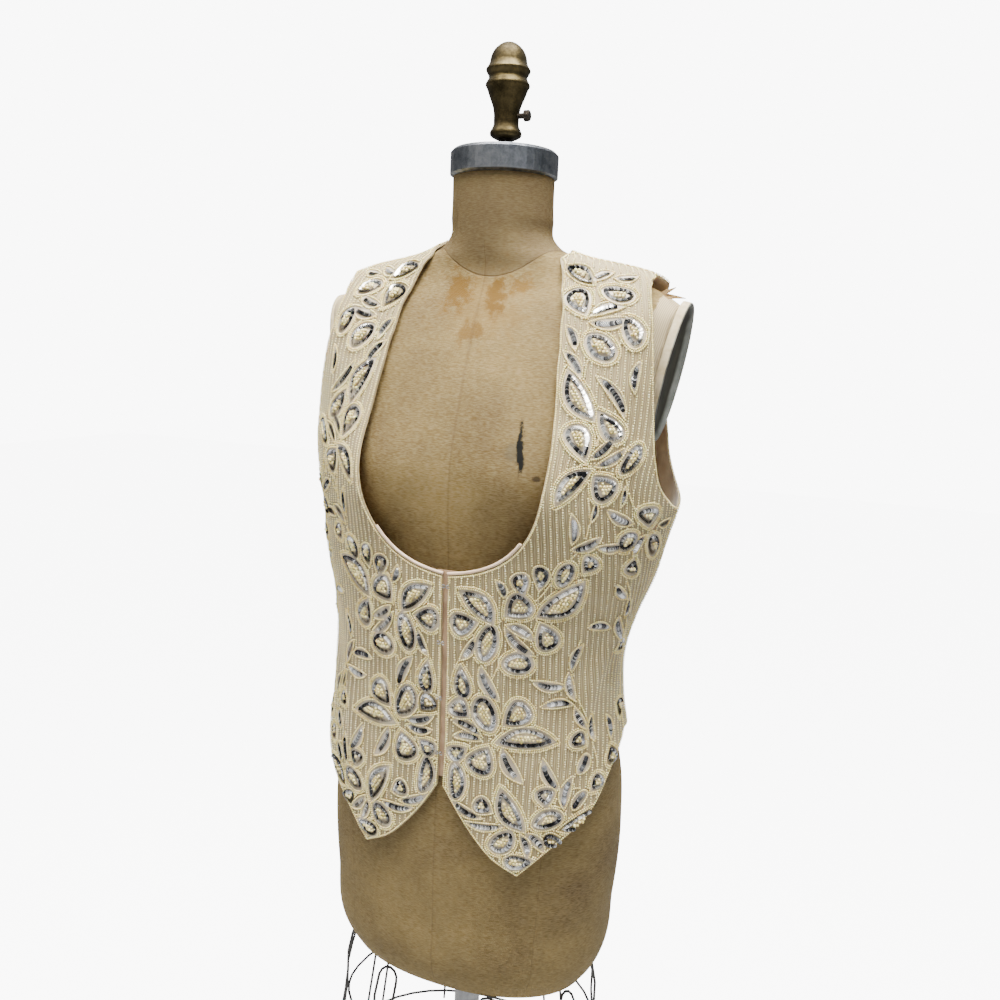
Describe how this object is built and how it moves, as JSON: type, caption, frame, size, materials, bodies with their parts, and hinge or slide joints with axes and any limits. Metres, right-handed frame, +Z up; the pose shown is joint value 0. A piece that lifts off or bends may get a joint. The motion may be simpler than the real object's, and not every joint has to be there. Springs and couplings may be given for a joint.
{
  "type": "beaded waistcoat on a limbless dress form",
  "caption": "Sleeveless beaded waistcoat with a deep scooped neck and pointed front hem, worn on a limbless dress form with a wire cage and a round stand.",
  "frame": {"origin": "centre of the stand's round base, on the floor", "axes": "+Z up; the front faces -Y; the wearer's left is +X"},
  "size_m": [0.44, 0.44, 1.6399],
  "materials": {
    "beaded_satin": "satin cloth covered with small beads",
    "pink_satin": "satin",
    "steel_wire": "bright drawn wire",
    "canvas": "matte canvas",
    "plate_green": "worn satin paint",
    "aluminium": "satin",
    "dark_steel": "dark oxide",
    "antique_brass": "aged, satin",
    "black_wire": "satin black",
    "pole_steel": "satin",
    "cast_iron": "matte black"
  },
  "bodies": {
    "root": {"front_left": "beaded_satin", "front_right": "beaded_satin", "back": "beaded_satin", "underlap": "pink_satin", "neck_roll_left": "pink_satin", "neck_roll_right": "pink_satin", "hook_1": "steel_wire", "hook_2": "steel_wire", "hook_3": "steel_wire", "hook_4": "steel_wire", "eye_1": "steel_wire", "eye_2": "steel_wire", "eye_3": "steel_wire", "eye_4": "steel_wire", "form_torso": "canvas", "arm_plate_left": "plate_green", "arm_plate_right": "plate_green", "neck_cap": "aluminium", "pole_stub": "dark_steel", "finial_screw": "dark_steel", "finial": "antique_brass", "cage_rib_1": "black_wire", "cage_rib_2": "black_wire", "cage_rib_3": "black_wire", "cage_rib_4": "black_wire", "cage_rib_5": "black_wire", "cage_rib_6": "black_wire", "cage_rib_7": "black_wire", "cage_rib_8": "black_wire", "cage_hoop_1": "black_wire", "cage_hoop_2": "black_wire", "cage_hub": "pole_steel", "stand_pole": "pole_steel", "stand_collar": "cast_iron", "stand_base": "cast_iron"}
  },
  "joints": []
}
